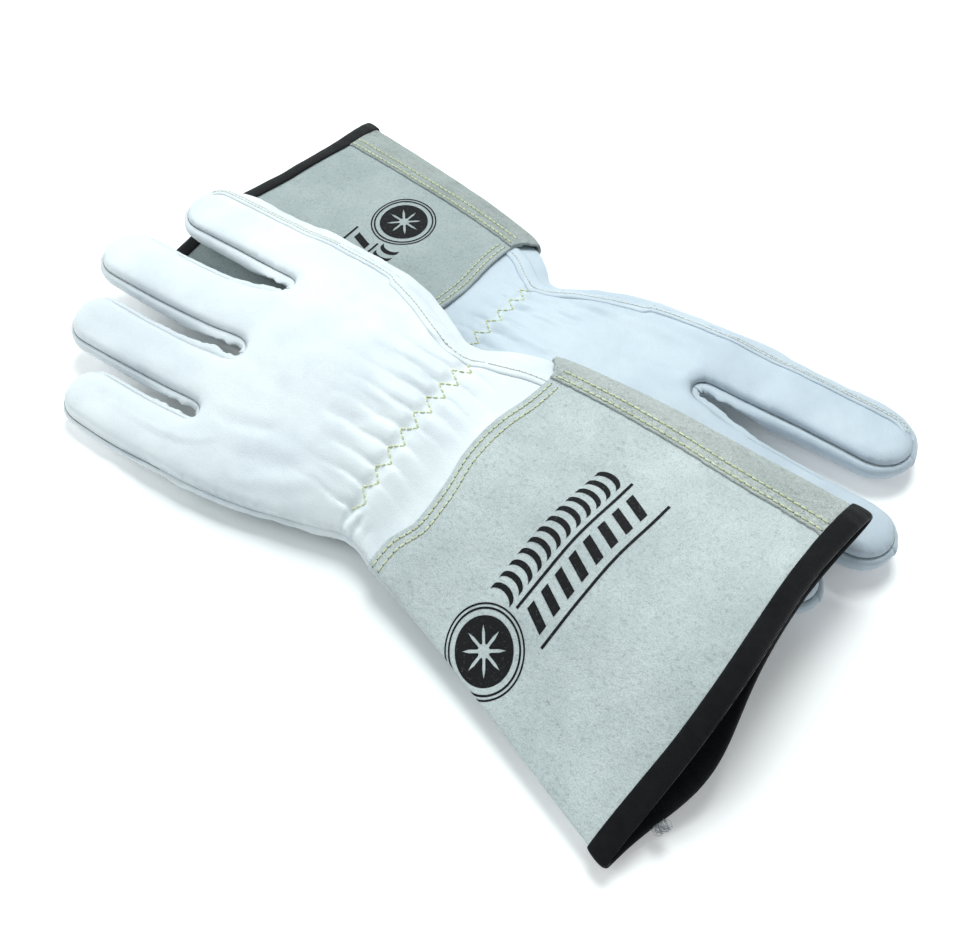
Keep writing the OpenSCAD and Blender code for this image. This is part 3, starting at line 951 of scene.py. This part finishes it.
def wrist_elastic(side):
    """The elastic inside the back of the wrist."""
    us, vs = np.linspace(-7, 1, 9), np.linspace(-ZIGZAG_HALF, ZIGZAG_HALF, 90)
    u, v = np.meshgrid(us, vs, indexing="ij")
    flat = np.stack([u.ravel(), v.ravel()], 1)
    folds = gather(flat[:, 0], flat[:, 1], NOISE_SEED[side])
    w = curve(flat[:, 0], UPSIDE) - 4.6 + folds - 4.0 * (np.abs(flat[:, 1]) / ZIGZAG_HALF) ** 4
    grid = np.c_[flat, w].reshape(len(us), len(vs), 3)
    piece = grid_shell(side, f"{side}_wrist_elastic", grid, 0.8, np.array([-3.0, 0.0, -40.0]))
    finish_part(piece, "elastic", hand_body(side), f"{side}_wrist_elastic")


# ---------------------------------------------------------------- the cuff
def hem_at(v):
    """The hem's place along the glove, a little slanted."""
    return HEM_U + HEM_SLANT * v


# the back panel's front edge, as u over v
FRONT_EDGE = [(-52, -26), (-38, -27), (-24, -32), (-10, -31), (6, -28), (22, -27), (40, -28), (55, -27)]
FRONT_EDGE += [(64, -21), (72, -18)]


def cuff_point(t, q, depth, side):
    """Points of the cuff's tube: t from 0 at the front edge to 1 at the hem."""
    t, q = np.broadcast_arrays(np.asarray(t, float), np.asarray(q, float))
    u = mix(CUFF_U, HEM_U, t)
    for _ in range(3):
        near, far, low, high = tube_sides(u)
        x, z = section(q)
        across = (near + far) / 2 + ((far - near) / 2 - depth) * x
        start = np.where(z >= 0, curve(across, FRONT_EDGE), mix(CUFF_U + 2, -18, smooth((across - 50) / 20)))
        hem = 1.6 * np.sin((across - 24) / 19) + np.where(z < 0, -6.5 * bump(across, -22, 26), 0)
        u = mix(start, hem_at(across) + hem * smooth((t - 0.4) / 0.6), t)
    seed = 100 if side == "left" else 130
    soft = 0.9 * noise2(u / 42, across / 38, seed) + 0.35 * noise2(u / 15, across / 17, seed + 1)
    soft_near = smooth(-x * 1.6) * smooth(t / 0.3) * (z > 0)
    z = mix(z, np.sqrt(np.maximum(0, 1 - x * x)), soft_near)
    lens = 1 - 0.35 * smooth((-x - 0.1) / 0.8) * smooth((t - 0.1) / 0.6) * (z > 0)
    up = (low + high) / 2 + ((high - low) / 2 - depth) * z * lens
    open_up = 3.2 * bump(across, -6, 26) * smooth((t - 0.45) / 0.55) * smooth(z * 3)
    shift = np.where(z > 0, soft * smooth(z * 2), np.maximum(0, 0.5 * soft) * np.abs(z))
    return np.stack([u, across, up + shift + open_up], -1)


def cuff_panel(side, name, q0, q1, kind, cells, lap=0.0):
    """A panel of the cuff. With a lap, its last edge lies over its neighbour. Returns its surface."""
    ts = np.r_[0, 0.004, 0.012, np.linspace(0.024, 1, 76)]
    qs = np.linspace(q0, q1, cells)
    t, q = np.meshgrid(ts, qs, indexing="ij")
    ragged = 0.006 * noise2(t * 46, 0 * t, 170) + 0.003 * noise2(t * 160, 0 * t, 171)
    q = q + np.where(lap, ragged * smooth((q - q1 + 0.1) / 0.1), 0)
    depth = -lap * smooth((q - q1 + 0.24) / 0.10) * (1 - 0.8 * smooth((t - 0.93) / 0.05))
    grid = cuff_point(t, q, depth, side)
    piece = grid_shell(side, f"{side}_{name}", grid, SUEDE, np.array([-95.0, 12.0, 8.0]))
    finish_part(piece, kind, cuff_body(side), f"{side}_{name}")
    return BVHTree.FromObject(piece, bpy.context.evaluated_depsgraph_get())


# where round the cuff the palm panel laps over the back panel
CUFF_SEAM = 0.5


def cuff_pieces(side):
    """The cuff's two panels. Returns their surfaces, for the stitches."""
    back = cuff_panel(side, "cuff_back_panel", CUFF_SEAM - 0.12, 2.25, "suede", 170)
    palm = cuff_panel(side, "cuff_palm_panel", 2.26, 4 + CUFF_SEAM, "strip", 220, lap=1.0)
    return back, palm


def cuff_binding(side):
    """A folded tape round the hem, with its joint on the near side."""
    out, thick, wide = 1.2, SUEDE, 6.8
    profile = [(wide, -0.15), (wide, -0.75), (wide - 0.7, -out), (wide / 2, -out - 0.12), (0.8, -out),
               (-0.7, -out * 0.6), (-1.5, 0.2), (-1.6, thick / 2), (-1.4, thick), (-0.6, thick + 0.8),
               (0.8, thick + out), (wide - 0.7, thick + out), (wide, thick + 0.7), (wide, thick + 0.15),
               (0.4, thick + 0.15), (0.0, thick / 2), (0.4, -0.15)]
    length = CUFF_U - HEM_U
    places = np.linspace(0, 4, 260, endpoint=False)
    t = np.array([1 - e / length for e, _ in profile])
    depth = np.array([d for _, d in profile])
    grid = np.array([cuff_point(t, q, depth, side) for q in places])
    ripple = noise2(np.arange(len(places)) / 5.0, 0.0, 150)
    grid[..., 2] += (0.16 * ripple)[:, None] * np.sign(depth - thick / 2) * -1
    rows, cols = grid.shape[:2]
    # closed both ways: the row after the last one is the first again
    faces = [[k % (rows * cols) for k in f] for f in grid_faces(rows + 1, cols, closed=True)]
    laid = lay(side, grid.reshape(-1, 3))
    centre = lay(side, grid.mean(1))
    towards = np.array([laid[f[0]] - centre[f[0] // cols] for f in faces])
    piece = make_mesh(f"{side}_cuff_binding", laid, point_up(laid, faces, towards))
    applied(piece, ("SUBSURF", {"levels": 1, "render_levels": 1}))
    piece.data.shade_smooth()
    finish_part(piece, "binding", cuff_body(side), f"{side}_cuff_binding")


# ---------------------------------------------------------------- sewing
# in metres: a height above both gloves, and a needle hole's radius and the heights of its middle and rim
ABOVE = 0.2
HOLE_RADIUS, HOLE_MIDDLE, HOLE_RIM = 0.00034, 0.00012, 0.00004


def dropped(side, surfaces, u, v):
    """The place and the normal of the glove's top at (u, v), found from above."""
    p = place(side, u, v)
    best = None
    for surface in surfaces:
        hit, normal, _, _ = surface.ray_cast(Vector((p.x, p.y, ABOVE)), Vector((0, 0, -1)))
        if hit is not None and (best is None or hit.z > best[0].z):
            best = (hit, normal)
    return best


def join(points, faces, more):
    """Adds the points and faces of one more small shape."""
    p, f = more
    faces.extend([[i + len(points) for i in x] for x in f])
    points.extend(p)


def capsule(a, b, up, radius, sides=6):
    """A rounded stitch from a to b, a little flat."""
    along = (b - a).normalized()
    across = along.cross(up).normalized()
    up = across.cross(along)
    points = []
    for t, size in ((0, 0.25), (0.08, 0.75), (0.25, 1), (0.75, 1), (0.92, 0.75), (1, 0.25)):
        rise = radius * 0.9 * math.sin(math.pi * t) ** 0.5
        for k in range(sides):
            turn = 2 * math.pi * k / sides
            points.append(a.lerp(b, t) + across * radius * size * math.cos(turn)
                          + up * (0.8 * radius * size * math.sin(turn) + rise))
    faces = grid_faces(6, sides, closed=True)
    faces.append(list(range(sides))[::-1])
    faces.append([5 * sides + k for k in range(sides)])
    return points, faces


def sew(side, name, surfaces, paths, pitch, radius, holes=True):
    """Stitches along paths of (u, v), each path even in its own way, with a dark disc of painted shade for a
    needle hole at each end.
    """
    points, faces, hole_points, hole_faces = [], [], [], []
    for path in paths:
        path = np.array(path, float)
        run = np.r_[0, np.cumsum(np.linalg.norm(np.diff(path, axis=0), axis=1))]
        n = max(1, int(round(run[-1] / pitch)))
        at = np.linspace(0, run[-1], n + 1)
        uv = np.stack([np.interp(at, run, path[:, k]) for k in (0, 1)], 1)
        ends = [dropped(side, surfaces, *p) for p in uv]
        for a, b in zip(ends[:-1], ends[1:]):
            if a is None or b is None:
                continue
            up = (a[1] + b[1]).normalized()
            if up.z < 0:
                up = -up
            gap = (b[0] - a[0]) * 0.09
            join(points, faces, capsule(a[0] + gap, b[0] - gap, up, radius * MM))
        # each needle hole is a small dark disc, painted shade
        if holes:
            for hit in ends:
                if hit is None:
                    continue
                normal = hit[1] if hit[1].z > 0 else -hit[1]
                side_way = normal.orthogonal().normalized()
                other = normal.cross(side_way)
                base = len(hole_points)
                hole_points.append(hit[0] + normal * HOLE_MIDDLE)
                for k in range(8):
                    turn = math.pi * k / 4
                    spoke = side_way * math.cos(turn) + other * math.sin(turn)
                    hole_points.append(hit[0] + spoke * HOLE_RADIUS + normal * HOLE_RIM)
                hole_faces.extend([[base, base + 1 + k, base + 1 + (k + 1) % 8] for k in range(8)])
    piece = make_mesh(name, points, faces)
    piece.data.shade_smooth()
    dress(piece, "thread")
    marks = None
    if hole_points:
        marks = make_mesh(name + "_holes", hole_points, hole_faces)
        dress(marks, "hole")
    return piece, marks


def sewing(side, hand_top, cuff_top, strip_top):
    """The zigzag at the wrist, and the two double rows on the cuff."""
    points = range(2 * TEETH + 1)
    teeth = [(ZIGZAG_BACK if i % 2 else ZIGZAG_FRONT, ZIGZAG_HALF - i * PITCH / 2) for i in points]
    legs = [teeth[i:i + 2] for i in range(2 * TEETH)]
    piece, _ = sew(side, f"{side}_wrist_stitching", [hand_top], legs, 2.5, 0.34, holes=False)
    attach(piece, hand_body(side))
    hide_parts(f"{side}_wrist_stitching")

    front = []
    for back in (2.4, 5.6):
        edges = [cuff_point(0.0, q, 0.0, side) for q in np.linspace(CUFF_SEAM + 0.02, 1.9, 70)]
        front.append([(edge[0] - back, edge[1]) for edge in edges])
    rows = []
    for out in (2.2, 6.4):
        edges = [cuff_point(t, CUFF_SEAM, 0.0, side) for t in np.linspace(0.015, 0.945, 60)]
        rows.append([(edge[0], edge[1] + out) for edge in edges])
    for name, surfaces, paths, pitch, radius in (
        ("front", [cuff_top], front, 2.7, 0.34), ("side", [cuff_top, strip_top], rows, 2.9, 0.4),
    ):
        piece, marks = sew(side, f"{side}_cuff_{name}_stitching", surfaces, paths, pitch, radius)
        for p in (piece, marks):
            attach(p, cuff_body(side))
        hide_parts(f"{side}_cuff_{name}_stitching")


# the band's section, as (how far in from the outline, how high)
BAND = [(-0.5, -0.8), (-0.2, 0.25), (0.3, 0.7), (1.2, 0.95), (2.4, 0.95), (3.4, 0.9), (4.0, 0.7)]
BAND += [(4.25, 0.3), (4.3, -0.5)]


def seam_bands(side, hand_top):
    """The palm leather laps over the back along the index side, as a raised band with its own stitches."""
    first, last = KEY["index_tip"] + 5, KEY["end"]
    line, out = OUTLINE[first:last], OUT[first:last]
    rise = smooth(np.arange(len(line)) / 5.0 + 0.1)
    u = line[:, 0]
    wide = 1.12 + 0.55 * smooth((50 - u) / 5) + 0.05 * noise2(np.arange(len(u)) / 6.0, 0.0, 180)
    grids = []
    for s, h in BAND:
        plan = line - out * (s * wide)[:, None]
        grids.append((plan, rise * h * (1 + 0.10 * noise2(np.arange(len(u)) / 9.0, s, 181))))
    laid = []
    for k in range(len(line)):
        row = []
        for plan, h in grids:
            base = dropped(side, [hand_top], *plan[k])
            if base is None:
                inner = dropped(side, [hand_top], *(line[k] - out[k] * 0.8))
                p = place(side, *plan[k])
                p.z = inner[0].z if inner else 0.02
                up = Vector(UP)
            else:
                p, up = base[0], (base[1] if base[1].z > 0 else -base[1])
            row.append(p + up * (h[k] * MM))
        laid.append(row)
    rows, cols = len(laid), len(BAND)
    laid = np.array([tuple(p) for row in laid for p in row])
    faces = grid_faces(rows, cols)
    whole = make_mesh(f"{side}_seam_band_whole", laid, point_up(laid, faces, UP))
    whole.data.shade_smooth()
    parts = {1: "index", 0: "hand", 5: "flare"}
    made = split(whole, region(side), {k: f"{side}_{name}_seam_band" for k, name in parts.items()})
    for k, part in made.items():
        dress(part, "palm")
        attach_part(side, k, part)
    band_top = BVHTree.FromPolygons([tuple(p) for p in laid], faces)
    reach = {"index": (KNUCKLE_U, 999), "hand": (FLARE_U, KNUCKLE_U), "flare": (-30, FLARE_U)}
    for row, inset in (("inner", 2.6), ("outer", 1.3)):
        path = line - out * (inset * wide)[:, None]
        for k, name in parts.items():
            # only the finger has an outer row
            if row == "outer" and name != "index":
                continue
            low, high = reach[name]
            chosen = path[(path[:, 0] > low) & (path[:, 0] <= high)]
            piece, marks = sew(side, f"{side}_{name}_seam_{row}_stitching", [band_top], [chosen], 2.2, 0.24)
            # the band's needle holes take the lighter painted shade of the seam line
            marks.data.materials[0] = MATERIAL["crease"]
            piece.data.materials[0] = MATERIAL["white_thread"]
            attach_part(side, k, piece)
            attach_part(side, k, marks)


def tube(path, radius, sides=5):
    """A thin tube along a path."""
    points = []
    for i, p in enumerate(path):
        along = (path[min(i + 1, len(path) - 1)] - path[max(i - 1, 0)]).normalized()
        across = along.orthogonal().normalized()
        other = along.cross(across)
        for k in range(sides):
            turn = 2 * math.pi * k / sides
            points.append(p + (across * math.cos(turn) + other * math.sin(turn)) * radius)
    return points, grid_faces(len(path), sides, closed=True)


def frayed_end(side):
    """Loose fibres where the binding's ends meet, near the cuff's near corner."""
    points, faces = [], []
    for i in range(34):
        r = [0.5 + 0.5 * float(noise2(i * 3.7 + 0.31 * k, k * 5.3 + 0.4, 200)) for k in range(6)]
        base = cuff_point(1.004, 2.44 + 0.09 * r[0], 0.4 + 1.2 * r[1], side)
        path = []
        for step in range(6):
            t = step / 5
            wiggle = 1.3 * math.sin(3.0 * t + 6.0 * r[2])
            along, across = -1.0 - (1.0 + 4.6 * r[3]) * t, wiggle * t + 2.5 * (r[4] - 0.5) * t
            up = 0.8 + (1.0 + 4.0 * r[5]) * t * (1 - 0.5 * t)
            path.append(Vector(lay(side, (base + np.array([along, across, up]))[None])[0]))
        join(points, faces, tube(path, 0.00011))
    piece = make_mesh(f"{side}_binding_frayed_end", points, faces)
    piece.data.shade_smooth()
    dress(piece, "fluff")
    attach(piece, cuff_body(side))


# ---------------------------------------------------------------- the print
# which way up each print is, and how far it is moved along and across
PRINT_TURN = {"left": (1, 0.0, 0.0), "right": (-1, 3.5, -9.0)}


def print_shapes(side):
    """Cells of the print in (u, v): a badge, a row of weld beads, a row of slanted bars and two rules."""
    turn, along, across = PRINT_TURN[side]

    def put(shape):
        return [(u + along, turn * v + across) for u, v in shape]

    def between(outer, inner, closed=True):
        """Cells between two lines that have equally many points."""
        n = len(outer)
        last = n if closed else n - 1
        return [[outer[k], outer[(k + 1) % n], inner[(k + 1) % n], inner[k]] for k in range(last)]

    badge_u, badge_v = -84.0, -46.0

    def circle(n, radius):
        """A line of n points round the badge's middle, with a radius for each angle."""
        turns = [2 * math.pi * k / n for k in range(n)]
        return [(badge_u + radius(a) * math.cos(a), badge_v + radius(a) * math.sin(a)) for a in turns]

    shapes = []
    for r_out, r_in in ((16.4, 15.7), (14.9, 14.1)):
        shapes += between(circle(72, lambda a: r_out), circle(72, lambda a: r_in))
    # a disc with an eight-rayed spark left clear in its middle
    shapes += between(circle(64, lambda a: 12.0), circle(64, lambda a: 2.4 + 6.6 * abs(math.cos(4 * a)) ** 7))
    # weld beads: overlapping crescents in a row
    for k in range(12):
        v = -27.4 + 5.4 * k
        outer, inner = ([(-76.5 + 5.2 * math.sin(a), v - back + 3.6 * math.cos(a))
                         for a in np.linspace(-1.35, 1.35, 15)] for back in (0.0, 2.4))
        shapes += between(outer, inner, closed=False)
    # slanted bars
    length, width, lean = 9.5, 3.8, 3.2
    for k in range(8):
        v = -27.5 + 7.7 * k
        low, high = ([(-96.5 + length * a, v + step + lean * a) for a in np.arange(6) / 5]
                     for step in (0.0, width))
        shapes += between(low, high, closed=False)
    for u, v_from, v_to in ((-83.4, -27.0, 37.0), (-99.4, -30.0, 38.0)):
        vs = np.linspace(v_from, v_to, 40)
        shapes += [[(u, a), (u, b), (u - 1.1, b), (u - 1.1, a)] for a, b in zip(vs[:-1], vs[1:])]
    return [put(s) for s in shapes]


def cuff_places(side, u, v, depth):
    """Points on the cuff's top for flat places (u, v) on its leather, as if it were unrolled from v = 10."""
    q = np.linspace(0.30, 2.0, 420)
    line = cuff_point(0.43, q, 0.0, side)
    laid = lay(side, line) / MM
    run = np.r_[0, np.cumsum(np.linalg.norm(np.diff(laid[:, 1:], axis=0), axis=1))]
    zero = np.interp(-10, -line[:, 1], run)
    at = np.interp(zero + 10 - v, run, q)
    front, back = cuff_point(0.0, at, depth, side)[:, 0], cuff_point(1.0, at, depth, side)[:, 0]
    t = (u - front) / (back - front)
    for _ in range(3):
        t = t + (u - cuff_point(t, at, depth, side)[:, 0]) / (back - front)
    return lay(side, cuff_point(t, at, depth, side))


def cuff_print(side):
    """The print, laid just over the suede."""
    places, faces, index = [], [], {}
    for shape in print_shapes(side):
        # each cell is cut small, so that it follows the suede
        corners = np.array(shape, float)
        longest = max(np.linalg.norm(corners[1] - corners[0]), np.linalg.norm(corners[2] - corners[1]))
        cut = max(1, int(math.ceil(longest / 1.4)))
        for i in range(cut):
            for j in range(cut):
                face = []
                for a, b in ((i, j), (i + 1, j), (i + 1, j + 1), (i, j + 1)):
                    s, t = a / cut, b / cut
                    p = ((1 - s) * (1 - t) * corners[0] + s * (1 - t) * corners[1]
                         + s * t * corners[2] + (1 - s) * t * corners[3])
                    key = (round(p[0], 3), round(p[1], 3))
                    if key not in index:
                        index[key] = len(places)
                        places.append(key)
                    face.append(index[key])
                faces.append(face)
    places = np.array(places)
    p = cuff_places(side, places[:, 0], places[:, 1], -0.16)
    turned = []
    for f in faces:
        n = np.cross(p[f[1]] - p[f[0]], p[f[2]] - p[f[0]])
        turned.append(f if n[2] > 0 else f[::-1])
    piece = make_mesh(f"{side}_cuff_print", p, turned)
    piece.data.shade_smooth()
    finish_part(piece, "ink", cuff_body(side), f"{side}_cuff_print")


# ---------------------------------------------------------------- build
def build_glove(side):
    """All pieces of one glove."""
    hand_top = hand_pieces(side)
    thumb_pieces(side)
    wrist_elastic(side)
    cuff_top, strip_top = cuff_pieces(side)
    cuff_binding(side)
    sewing(side, hand_top, cuff_top, strip_top)
    cuff_print(side)
    seam_bands(side, hand_top)
    frayed_end(side)


# the camera, from the fit to the photo
EYE, TARGET = Vector((0.2142, -0.1716, 0.3480)), Vector((0.0371, -0.0160, 0.0135))
LENS, ROLL = 37.3, math.radians(4.34)


def camera():
    data = bpy.data.cameras.new("camera")
    data.sensor_width = 36
    data.lens = LENS
    data.clip_start, data.clip_end = 0.02, 20
    cam = bpy.data.objects.new("camera", data)
    bpy.context.scene.collection.objects.link(cam)
    forward = (TARGET - EYE).normalized()
    right = forward.cross(Vector(UP)).normalized()
    down = forward.cross(right)
    c, s = math.cos(ROLL), math.sin(ROLL)
    right, down = right * c + down * s, down * c - right * s
    turn = Matrix((right, -down, -forward)).transposed()
    cam.matrix_world = Matrix.Translation(EYE) @ turn.to_4x4()
    bpy.context.scene.camera = cam


def studio():
    """The floor with its painted glow, the sky and two lights."""
    bpy.ops.mesh.primitive_plane_add(size=8)
    floor = bpy.context.object
    floor.name = "floor"
    m = Nodes("floor_white", 0.6, Specular_IOR_Level=0.2)
    m.set("Base Color", m.ramp(m.noise(3, 2), (0.3, (0.955, 0.965, 0.965, 1)), (0.7, (0.97, 0.98, 0.98, 1))))
    # painted light: the floor glows a little away from the gloves, standing in for the sweep of a light tent,
    # and not under them
    scaled = m.add("ShaderNodeMapping", Vector=m.coords, Scale=(2.6, 3.2, 1.0))
    away = m.add("ShaderNodeTexGradient", Vector=scaled.outputs["Vector"])
    away.gradient_type = "QUADRATIC_SPHERE"
    m.set("Emission Color", m.ramp(away.outputs["Fac"], (0.04, (0.42, 0.40, 0.40, 1)), (0.42, (0, 0, 0, 1))))
    m.shader.inputs["Emission Strength"].default_value = 1.0
    floor.data.materials.append(m.material)
    world = bpy.data.worlds.new("studio")
    bpy.context.scene.world = world
    world.use_nodes = True
    sky = world.node_tree.nodes["Background"].inputs
    sky["Color"].default_value = (0.88, 0.97, 1.0, 1)
    sky["Strength"].default_value = 0.40

    def area(name, at, size, power, colour):
        data = bpy.data.lights.new(name, "AREA")
        data.size, data.energy, data.color = size, power, colour
        light = bpy.data.objects.new(name, data)
        bpy.context.scene.collection.objects.link(light)
        light.location = at
        light.rotation_euler = (Vector((0, 0, 0)) - Vector(at)).to_track_quat("-Z", "Y").to_euler()

    area("key", (-0.22, 0.42, 0.88), 0.45, 8.3, (0.95, 1.0, 0.99))
    area("fill", (-0.75, -0.65, 0.85), 0.8, 5.0, (0.92, 0.99, 1.0))
    bpy.context.scene.view_settings.view_transform = "Standard"
    bpy.context.scene.view_settings.look = "None"


camera()
studio()
for side_name in ("right", "left"):
    build_glove(side_name)
